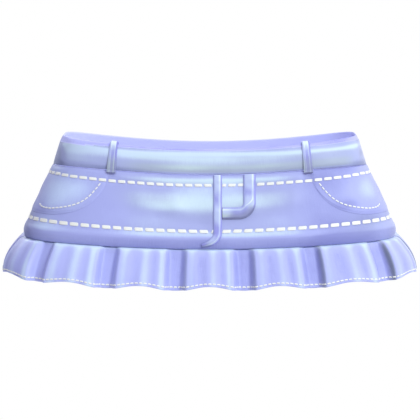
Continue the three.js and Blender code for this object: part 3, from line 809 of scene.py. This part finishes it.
def welt_cloth(name, route, tones, lines, foot_grey, foot_start):
    """A crowned strip along a route of along, drop and half width, its long edges turned under. A thin pale
    line runs along it, from one place across it to another; its foot may be greyer on its outer side. Its
    tone is painted light and shade."""
    heading = unit(np.gradient(route[:, :2], axis=0))
    across = eased(25)[:, None]
    crown = 0.35 + 1.25 * (1 - np.abs(across) ** 3.4) ** 0.6
    run = run_lengths(route[:, :2], 0)[None, :]
    pucker = 0.1 * np.sin(run / 2.1 + 2 * across) * (1 - across**2)
    along = route[:, 0] - across * route[:, 2] * heading[:, 1]
    drop = route[:, 1] + across * route[:, 2] * heading[:, 0]
    outer = front_drop_point(along, drop, WELT_BASE + crown + pucker)
    inner = front_drop_point(along, drop, WELT_BASE)
    part = run / run[0, -1]
    line = lines[0] + (lines[1] - lines[0]) * smoother((part - 0.38) / 0.2)
    # A painted grey tint on the foot's outer side.
    grey = foot_grey * smoother((part - foot_start) / 0.12) * smoother((0.55 - across) / 1.3)
    # Painted light and shade along the crest, with the thin pale line across it.
    crest = smooth_curve(*tones, part) + 0.34 * bell(across, line, 0.08) - 0.12 * grey
    # Painted shade on the turned-under edges, and on the foot's outer edge.
    edge = 0.3 + 0.14 * smoother(across)
    shade = edge + (crest - edge) * (1 - smoother((np.abs(across) - 0.66) / 0.18))
    shade = shade - 0.2 * grey * smoother((-across - 0.5) / 0.3)
    return sweep(name, outer, inner, (shade, shade), (grey, grey), strip=True, lining=False)


LOOP_TOP_WIDTH, LOOP_FOOT_WIDTH = 9.0, 10.2
# How far a loop's back stands off its route.
LOOP_BASE = 0.05
# The way along from the middle of the front, at the rim and at the band's foot.
LOOP_TOP_ALONG, LOOP_FOOT_ALONG = 108.3, 111.2
# Up from the rim and out from the band: from the foot up, over the rim and down inside.
LOOP_UP = [-38.5, -37.2, -35.0, -32.0, -28.0, -22.0, -12.0, -3.5, 0.0, 2.2, 3.2, 3.0, 1.0, -4.5]
LOOP_OUT = [2.0, 2.0, 2.15, 3.0, 3.35, 3.5, 3.6, 3.4, 2.9, 1.8, 0.3, -1.1, -2.2, -2.5]


def loop_cloth(name, side):
    knots = run_lengths(np.stack([LOOP_UP, LOOP_OUT], -1), 0)
    at = np.linspace(0, knots[-1], 90)
    up, out = smooth_curve(knots, LOOP_UP, at), smooth_curve(knots, LOOP_OUT, at)
    heading_up, heading_out = unit(np.stack([np.gradient(up), np.gradient(out)], -1)).T
    across = eased(29)[:, None]
    rise = 0.3 + 0.85 * (1 - np.abs(across) ** 5) ** 0.5
    rise = rise - 0.15 * bell(across, 0, 0.3) - 0.1 * bell(np.abs(across), 0.5, 0.07)

    def face(thickness):
        level = -(up - heading_out * thickness) / BAND_HEIGHT
        along = LOOP_TOP_ALONG + (LOOP_FOOT_ALONG - LOOP_TOP_ALONG) * level
        width = LOOP_TOP_WIDTH + (LOOP_FOOT_WIDTH - LOOP_TOP_WIDTH) * level
        share = (side * along + across * width / 2) / band_length(level)
        return band_point(share, level, out + heading_up * thickness)

    drop = up[None, :] / -BAND_HEIGHT
    # Painted light and shade down the loop, with two thin pale lines on it.
    crest = smooth_curve(*LOOP_TONE, drop) + 0.25 * bell(np.abs(across), 0.45, 0.06)
    # The loop on the wearer's left is painted darker lower down.
    if side > 0:
        crest = crest - 0.12 * smoother((drop - 0.35) / 0.3)
    # Painted shade on the turned-under edges, lighter on the wearer's right.
    edge = 0.24 + 0.3 * smoother(-across)
    shade = edge + (crest - edge) * (1 - smoother((np.abs(across) - 0.58) / 0.16))
    # Painted shade under the loop's foot, and a painted grey tint lower down.
    shade = shade - 0.4 * smoother((drop - 1.09) / 0.04)
    grey = smoother((drop - 0.3) / 0.6)
    return sweep(name, face(rise), face(LOOP_BASE), (shade, shade), (grey, grey), strip=True, lining=False)


# ---------------- sewing

STATIONS, SPOKES = 11, 10
# The way round a stitch, for each millimetre of its width.
GIRTH_TO_WIDTH = 2.4
# What a welt leaves of a stitch is kept if it is longer than this.
SHORTEST_STITCH = 1.2
STITCH_HEIGHT, FINE_WIDTH = 0.8, 1.5
# How far the thick stitches' ends lean, for each millimetre of their width.
ROW_LEAN = 0.3


def thread_dashes(name, places, surface):
    """Puffy thread stitches. Each place is along, down, length, width and lean, on a surface that takes
    along, down and out."""
    along, down, length, width, lean = np.array(places, float).T[..., None, None]
    turn = np.linspace(0, 2 * math.pi, SPOKES, endpoint=False) + math.pi / SPOKES
    across, lift = (np.sign(wave) * np.abs(wave) ** 0.45 for wave in (np.cos(turn), np.sin(turn)))
    station = eased(STATIONS)[:, None]
    girth = (1 - np.abs(station) ** 14) ** (1 / 3)
    girth[[0, -1]] = 0.72
    aside = width / 2 * girth * across
    out = STITCH_HEIGHT * (0.4 * (1 - 0.4 * station**6) + 0.5 * girth * lift)
    points = surface(along + length / 2 * station - lean * aside, down + aside, out)
    ids = np.arange(len(places) * STATIONS * SPOKES).reshape(-1, STATIONS, SPOKES)
    after = np.roll(ids, -1, axis=2)
    quads = np.stack([ids[:, :-1], ids[:, 1:], after[:, 1:], after[:, :-1]], -1).reshape(-1, 4)
    caps = ids[:, 0, ::-1].tolist() + ids[:, -1].tolist()

    def cloth_at(angle):
        round_way = angle / (2 * math.pi) * width * GIRTH_TO_WIDTH
        return np.stack(np.broadcast_arrays(length / 2 * station, round_way), -1)

    uv, uv_after = cloth_at(turn), cloth_at(turn + 2 * math.pi / SPOKES)
    corners = np.stack([uv[:, :-1], uv[:, 1:], uv_after[:, 1:], uv_after[:, :-1]], -2).reshape(-1, 2)
    corners = np.concatenate([corners, np.zeros((len(caps) * SPOKES, 2))])
    return add_mesh(name, points.reshape(-1, 3), quads.tolist() + caps, corners)


def cut_by(places, first, last):
    """The stitches with what lies between two places along taken out, as where a welt covers them."""
    kept = []
    for along, down, length, *rest in places:
        start, end = along - length / 2, along + length / 2
        for a, b in ((start, min(end, first)), (max(start, last), end)):
            if b - a > SHORTEST_STITCH:
                kept.append([(a + b) / 2, down, b - a, *rest])
    return kept


def panel_surface(along, down, out):
    """A point on the panels and pockets. along is a share times the panels' length halfway down, and down is
    the drop in millimetres."""
    share, level = along / HALF_WAY_LENGTH, down / PANEL_HEIGHT
    return panel_point(share, level, panel_face(share, level) + pocket_lift(share, level) + out)


def row_on_panels(row, pitch, length, width, starts, covers):
    """A row right round at the row's own level, sewn from the front's middle to the back's on either side.
    Stitches are a little longer on the hips. The fly's strips cover the row from place to place along."""
    way_round = float(panel_length(np.mean(row[1])))
    scale = way_round / HALF_WAY_LENGTH
    places, ends = [], []
    for side, start in zip((1, -1), starts):
        at = start
        while at < way_round / 2 - 0.5 * length:
            share = side * at / way_round
            longer = 1 + bells([(0.3, 0.19, 0.035), (0.3, 0.31, 0.035)], abs(share))
            drop = float(mirrored_level(row, share)) * PANEL_HEIGHT
            size = length * longer / scale
            places.append([share * HALF_WAY_LENGTH, drop, size, width, side * ROW_LEAN])
            ends.append(side * (at + length * longer / 2))
            at += pitch * longer
    left_over = way_round - max(ends) + min(ends)
    space = pitch - length
    count = round((left_over - space) / pitch)
    size = (left_over - space * (count + 1)) / count
    for i in range(count):
        at = (max(ends) + space * (i + 1) + size * (i + 0.5)) / scale
        places.append([at, places[-1][1], size / scale, width, ROW_LEAN])
    for first, last in covers:
        places = cut_by(places, first / scale, last / scale)
    return places


# The fine row inside a pocket's edge.
POCKET_ROW_LEVELS = np.array([0.188, 0.273, 0.380, 0.470, 0.527, 0.575, 0.593, 0.590, 0.547])
POCKET_ROW_SHARES = np.array([0.1163, 0.1193, 0.1239, 0.1307, 0.1392, 0.1530, 0.1626, 0.1711, 0.1826])


def pocket_stitches(name, side):
    pitch, length = 4.9, 3.5
    points = np.stack([POCKET_ROW_SHARES * HALF_WAY_LENGTH, POCKET_ROW_LEVELS * PANEL_HEIGHT], -1)
    knots = run_lengths(points, 0)
    x, y = (smooth_curve(knots, values, np.linspace(0, knots[-1], 400)) for values in points.T)
    run = run_lengths(np.stack([x, y], -1), 0)
    heading_x, heading_y = np.gradient(x, run), np.gradient(y, run)

    def surface(along, down, out):
        at_x, at_y, dx, dy = (np.interp(along, run, values) for values in (x, y, heading_x, heading_y))
        return panel_surface(side * (at_x - dy * down), at_y + dx * down, out)

    middles = np.arange(0.5, int(run[-1] / pitch)) * pitch
    obj = thread_dashes(name, [[at, 0, length, FINE_WIDTH, 0] for at in middles], surface)
    if side < 0:
        obj.data.flip_normals()
    return obj


# A place on a crest, where the way down the ruffle is measured, and how far off the cloth the hem row is.
CREST_PLACE, STITCH_GAP = 0.98, 0.05


def hem_stitches(name):
    """A fine row right round the ruffle, a little above its hem."""
    pitch, length = 5.0, 3.7
    place_run = np.linspace(-WAVE_COUNT / 2, WAVE_COUNT / 2, 6001)
    length_run = run_lengths(ruffle_outer(place_run, HEM_ROW), 0)
    s_run = np.linspace(1, 2, 60)
    down_run = run_lengths(ruffle_outer(CREST_PLACE, s_run), 0)

    def surface(along, down, out):
        place, s = np.interp(along, length_run, place_run), np.interp(down, down_run, s_run)
        return ruffle_outer(place, s) + ruffle_normal(place, s) * (out + STITCH_GAP)[..., None]

    count = round(length_run[-1] / pitch)
    middles = (np.arange(count) + 0.5) * length_run[-1] / count
    down = np.interp(HEM_ROW, s_run, down_run)
    return thread_dashes(name, [[at, down, length, FINE_WIDTH, 0] for at in middles], surface)


# ---------------- materials


def fill_ramp(node, stops):
    elements = node.color_ramp.elements
    while len(elements) < len(stops):
        elements.new(0.5)
    for element, (place, colour) in zip(elements, stops):
        element.position = place
        element.color = (*colour, 1.0)


class Nodes:
    """A little help to wire the shader nodes of a material or a world."""

    def __init__(self, owner):
        owner.use_nodes = True
        self.owner, self.tree = owner, owner.node_tree

    def set(self, socket, value):
        if isinstance(value, bpy.types.NodeSocket):
            self.tree.links.new(value, socket)
        else:
            socket.default_value = value

    def set_inputs(self, node, **inputs):
        for name, value in inputs.items():
            self.set(node.inputs[name.replace("_", " ")], value)
        return node

    def add(self, kind, *values, **settings):
        """A new node. The values fill its sockets in order, and the settings are its own."""
        node = self.tree.nodes.new(kind)
        for name, value in settings.items():
            setattr(node, name, value)
        for socket, value in zip(node.inputs, values):
            self.set(socket, value)
        return node

    def math(self, operation, *values):
        return self.add("ShaderNodeMath", *values, operation=operation).outputs[0]

    def varied(self, value, noise, strength):
        """A value that goes up and down with a noise."""
        return self.math("ADD", value, self.math("MULTIPLY", self.math("SUBTRACT", noise, 0.5), strength))

    def noise(self, vector, scale, detail):
        node = self.add("ShaderNodeTexNoise")
        return self.set_inputs(node, Scale=scale, Detail=detail, Vector=vector).outputs["Fac"]

    def cloth_noise(self, u, v, along, down, detail):
        """Noise with so many grains to a metre, along and down the cloth."""
        grains = [self.math("MULTIPLY", u, along), self.math("MULTIPLY", v, down)]
        return self.noise(self.add("ShaderNodeCombineXYZ", *grains).outputs[0], 1.0, detail)

    def cloth_waves(self, along, down, pitch):
        """The cloth's own coordinates, and fine waves aslant across them."""
        uv = self.add("ShaderNodeUVMap", uv_map="cloth").outputs[0]
        split = self.add("ShaderNodeSeparateXYZ", uv)
        u, v = split.outputs[0], split.outputs[1]
        slant = self.math("ADD", self.math("MULTIPLY", u, along), self.math("MULTIPLY", v, down))
        return u, v, self.math("SINE", self.math("MULTIPLY", slant, 2 * math.pi / pitch))

    def stored(self, name):
        """What the mesh's points say under a name."""
        return self.add("ShaderNodeAttribute", attribute_name=name).outputs["Fac"]

    def ramp(self, factor, stops):
        node = self.add("ShaderNodeValToRGB", factor)
        node.color_ramp.interpolation = "EASE"
        fill_ramp(node, stops)
        return node.outputs["Color"]

    def bump(self, strength, distance, height):
        node = self.add("ShaderNodeBump")
        return self.set_inputs(node, Strength=strength, Distance=distance, Height=height).outputs[0]

    def material(self, **inputs):
        """The material, with its shader's inputs."""
        self.set_inputs(self.tree.nodes["Principled BSDF"], **inputs)
        return self.owner


SHEEN_TINT = (0.86, 0.94, 1.0, 1.0)
# What the colour is multiplied by where painted light and shade is tinted grey.
PAINTED_GREY_TINT = (0.95, 1.0, 0.72, 1.0)
TWILL_PITCH, TRIM_TWILL_PITCH, THREAD_PITCH = 0.0011, 0.0009, 0.0011


def denim(name, stops, roughness, twill_pitch=TWILL_PITCH):
    """Pale dyed twill: a slanted weave, uneven warp yarns, slow fading, and the tone stored on the cloth,
    which carries painted light and shade, tinted grey where the stored grey says so.
    """
    nodes = Nodes(bpy.data.materials.new(name))
    u, v, twill = nodes.cloth_waves(0.82, 0.57, twill_pitch)
    yarns = nodes.cloth_noise(u, v, 1500.0, 90.0, 3.0)
    weft = nodes.cloth_noise(u, v, 110.0, 1300.0, 2.0)
    clouds = nodes.cloth_noise(u, v, 34.0, 34.0, 3.0)
    tone = nodes.varied(nodes.stored("tone"), clouds, 0.16)
    tone = nodes.varied(nodes.varied(tone, yarns, 0.16), weft, 0.07)
    tone = nodes.math("ADD", tone, nodes.math("MULTIPLY", twill, 0.018))
    colour = nodes.ramp(tone, stops)
    painted_grey_colour = nodes.add("ShaderNodeMixRGB", nodes.stored("grey"), colour, PAINTED_GREY_TINT, blend_type="MULTIPLY")
    height = nodes.math("ADD", nodes.math("MULTIPLY", twill, 0.35), nodes.math("MULTIPLY", yarns, 0.9))
    height = nodes.math("ADD", height, nodes.math("MULTIPLY", weft, 0.5))
    return nodes.material(
        Base_Color=painted_grey_colour.outputs[0],
        Roughness=nodes.varied(roughness, yarns, 0.16),
        Normal=nodes.bump(0.16, 0.0003, height),
        Specular_IOR_Level=0.42,
        Sheen_Weight=0.22,
        Sheen_Roughness=0.45,
        Sheen_Tint=SHEEN_TINT,
    )


THREAD_STOPS = [(0.0, (0.65, 0.64, 0.62)), (0.55, (0.73, 0.72, 0.69)), (1.0, (0.81, 0.8, 0.76))]
FLOOR_STOPS = [(0.3, (0.90, 0.90, 0.91)), (0.7, (0.93, 0.93, 0.94))]


def thread_material():
    """Twisted off-white topstitching thread."""
    nodes = Nodes(bpy.data.materials.new("thread"))
    u, v, twist = nodes.cloth_waves(0.8, 0.6, THREAD_PITCH)
    fibres = nodes.cloth_noise(u, v, 2600.0, 2600.0, 2.0)
    shade = nodes.math("ADD", nodes.math("MULTIPLY", twist, 0.3), nodes.math("ADD", fibres, 0.1))
    return nodes.material(
        Base_Color=nodes.ramp(shade, THREAD_STOPS),
        Normal=nodes.bump(0.3, 0.0002, shade),
        Roughness=0.55,
        Sheen_Weight=0.3,
    )


def floor_material():
    nodes = Nodes(bpy.data.materials.new("floor_paint"))
    place = nodes.add("ShaderNodeTexCoord").outputs["Object"]
    return nodes.material(Base_Color=nodes.ramp(nodes.noise(place, 3.0, 2.0), FLOOR_STOPS), Roughness=0.8)


# ---------------- the skirt

# Colours by tone, from the darkest painted shade through the plain dye to the palest painted highlight.
PANEL_STOPS = [(0.0, (0.21, 0.22, 0.52)), (0.48, (0.33, 0.35, 0.68)), (1.0, (0.53, 0.63, 0.87))]
BAND_STOPS = [(0.0, (0.19, 0.21, 0.40)), (0.48, (0.33, 0.36, 0.62)), (1.0, (0.52, 0.62, 0.80))]
RUFFLE_STOPS = [
    (0.0, (0.14, 0.15, 0.32)),
    (0.22, (0.26, 0.27, 0.6)),
    (0.45, (0.36, 0.38, 0.74)),
    (1.0, (0.54, 0.64, 0.84)),
]
TRIM_STOPS = [
    (0.0, (0.13, 0.13, 0.36)),
    (0.3, (0.24, 0.24, 0.6)),
    (0.6, (0.4, 0.45, 0.7)),
    (1.0, (0.62, 0.7, 0.78)),
]
REVERSE_STOPS = [
    (0.0, (0.24, 0.24, 0.62)),
    (0.2, (0.38, 0.38, 0.82)),
    (0.42, (0.51, 0.52, 0.93)),
    (1.0, (0.6, 0.62, 0.96)),
]

panel_denim = denim("denim_panel", PANEL_STOPS, 0.5)
band_denim = denim("denim_waistband", BAND_STOPS, 0.44)
ruffle_denim = denim("denim_ruffle", RUFFLE_STOPS, 0.46)
trim_denim = denim("denim_trim", TRIM_STOPS, 0.46, TRIM_TWILL_PITCH)
lining_denim = denim("denim_reverse", REVERSE_STOPS, 0.6)
thread = thread_material()


def dress(obj, material, slot, *nodes):
    """The piece in its material, and in the lining's where the sweep says so, and what it stands for."""
    indices = np.zeros(len(obj.data.polygons), np.int32)
    obj.data.polygons.foreach_get("material_index", indices)
    obj.data.materials.append(material)
    if indices.any():
        obj.data.materials.append(lining_denim)
        obj.data.polygons.foreach_set("material_index", indices)
    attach(obj, "root")
    if nodes:
        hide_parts(*nodes)
    return obj


band = dress(waistband_cloth(), band_denim, "denim_waistband", "waistband")
front = dress(panel_cloth("front_panel_cloth", 0.0), panel_denim, "denim_panel", "front_panel")
back = dress(panel_cloth("back_panel_cloth", 0.5), panel_denim, "denim_panel", "back_panel")
ruffle_front = dress(ruffle_cloth("ruffle_front_cloth", True), ruffle_denim, "denim_ruffle", "ruffle_front")
ruffle_back = dress(ruffle_cloth("ruffle_back_cloth", False), ruffle_denim, "denim_ruffle", "ruffle_back")
pocket_left = dress(pocket_cloth("pocket_left_cloth", 1), panel_denim, "denim_panel", "pocket_left")
pocket_right = dress(pocket_cloth("pocket_right_cloth", -1), panel_denim, "denim_panel", "pocket_right")
edge_strip = welt_cloth(
    "fly_edge_cloth", fly_edge_route(), FLY_EDGE_TONE, lines=(-0.4, -0.4), foot_grey=0.8, foot_start=0.82
)
fly_edge = dress(edge_strip, trim_denim, "denim_trim", "fly_edge")
j_strip = welt_cloth(
    "fly_j_cloth", fly_j_route(), FLY_J_TONE, lines=(-0.5, 0.55), foot_grey=1.0, foot_start=0.45
)
fly_j = dress(j_strip, trim_denim, "denim_trim", "fly_j")
loop_left = dress(loop_cloth("belt_loop_left_cloth", 1), trim_denim, "denim_trim", "belt_loop_left")
loop_right = dress(loop_cloth("belt_loop_right_cloth", -1), trim_denim, "denim_trim", "belt_loop_right")

upper_places = row_on_panels(
    UPPER_ROW, pitch=10.8, length=8.2, width=3.3, starts=(14.3, 2.0), covers=[(3.8, 14.0), (37.7, 52.1)]
)
lower_places = row_on_panels(
    LOWER_ROW, pitch=12.2, length=9.3, width=4.0, starts=(6.8, 6.6), covers=[(3.9, 14.0)]
)
upper_row = dress(thread_dashes("stitches_upper", upper_places, panel_surface), thread, "thread")
lower_row = dress(thread_dashes("stitches_lower", lower_places, panel_surface), thread, "thread")
arc_left = dress(pocket_stitches("stitches_pocket_left", 1), thread, "thread")
arc_right = dress(pocket_stitches("stitches_pocket_right", -1), thread, "thread")
hem_row = dress(hem_stitches("stitches_hem"), thread, "thread")

# ---------------- floor, light and camera, in metres

FLOOR_Z = -1.0
FLOOR_RADIUS, FLOOR_MIDDLE, FLOOR_SIDES = 3.6, 0.2, 128


def make_floor():
    """A round floor well under the skirt: a wide ring round a small disc."""
    turn = np.linspace(0, 2 * math.pi, FLOOR_SIDES, endpoint=False)
    circle = np.stack([np.cos(turn), np.sin(turn), np.zeros(FLOOR_SIDES)], -1)
    points = np.concatenate([circle * FLOOR_RADIUS, circle * FLOOR_MIDDLE]) + [0, 0, FLOOR_Z]
    i = np.arange(FLOOR_SIDES)
    j = (i + 1) % FLOOR_SIDES
    ring = np.stack([i, j, FLOOR_SIDES + j, FLOOR_SIDES + i], -1)
    mesh = bpy.data.meshes.new("floor")
    mesh.from_pydata(points.tolist(), [], [*ring.tolist(), (FLOOR_SIDES + i).tolist()])
    obj = bpy.data.objects.new("floor", mesh)
    bpy.context.scene.collection.objects.link(obj)
    obj.data.materials.append(floor_material())


make_floor()

# Where the lights point.
LIT_POINT = Vector((0, 0, -0.06))


def aim(obj, place, at):
    obj.location = place
    obj.rotation_euler = (at - Vector(place)).to_track_quat("-Z", "Y").to_euler()
    bpy.context.scene.collection.objects.link(obj)


def area_light(name, place, size, power, colour):
    data = bpy.data.lights.new(name, "AREA")
    data.shape = "DISK"
    data.size = size
    data.energy = power
    data.color = colour
    aim(bpy.data.objects.new(name, data), place, LIT_POINT)


area_light("key", (1.9, -2.3, 2.0), 1.1, 62.0, (0.86, 1.0, 0.98))
area_light("top", (-0.2, -0.5, 2.5), 1.2, 16.0, (0.92, 0.98, 1.0))
area_light("back", (-1.3, 2.4, 1.5), 1.4, 24.0, (0.92, 0.98, 1.0))

# The studio's walls from the darker side to the light one, and the way towards the light one.
WALL_STOPS = [
    (0.0, (0.1, 0.1, 0.17)),
    (0.3, (0.3, 0.3, 0.42)),
    (0.55, (0.95, 0.95, 0.97)),
    (1.0, (1.1, 1.1, 1.12)),
]
LIGHT_WALL = (0.96, -0.05, 0.28)
WHITE = (1, 1, 1, 1)


def studio_world():
    """A plain white studio: one side of it is darker and bluer, as from a dark blue card out of sight."""
    world = bpy.data.worlds.new("studio")
    bpy.context.scene.world = world
    nodes = Nodes(world)
    direction = nodes.add("ShaderNodeTexCoord").outputs["Generated"]
    toward = nodes.add("ShaderNodeVectorMath", direction, LIGHT_WALL, operation="DOT_PRODUCT")
    half = nodes.math("MULTIPLY_ADD", toward.outputs["Value"], 0.5, 0.5)
    walls = nodes.add("ShaderNodeValToRGB", half)
    fill_ramp(walls, WALL_STOPS)
    seen = nodes.add("ShaderNodeLightPath").outputs["Is Camera Ray"]
    mix = nodes.add("ShaderNodeMixRGB", seen, walls.outputs[0], WHITE)
    nodes.set_inputs(nodes.tree.nodes["Background"], Color=mix.outputs[0], Strength=1.0)


studio_world()

SKIRT_MIDDLE = Vector((0.0003, 0.0, -0.0708))
CAMERA_DISTANCE = 4.06
CAMERA_ELEVATION = math.radians(4.0)

camera_data = bpy.data.cameras.new("camera")
camera_data.sensor_width = 36.0
camera_data.lens = 300.0
camera = bpy.data.objects.new("camera", camera_data)
backward = Vector((0, -math.cos(CAMERA_ELEVATION), math.sin(CAMERA_ELEVATION)))
aim(camera, SKIRT_MIDDLE + backward * CAMERA_DISTANCE, SKIRT_MIDDLE)
bpy.context.scene.camera = camera
bpy.context.scene.view_settings.view_transform = "Standard"
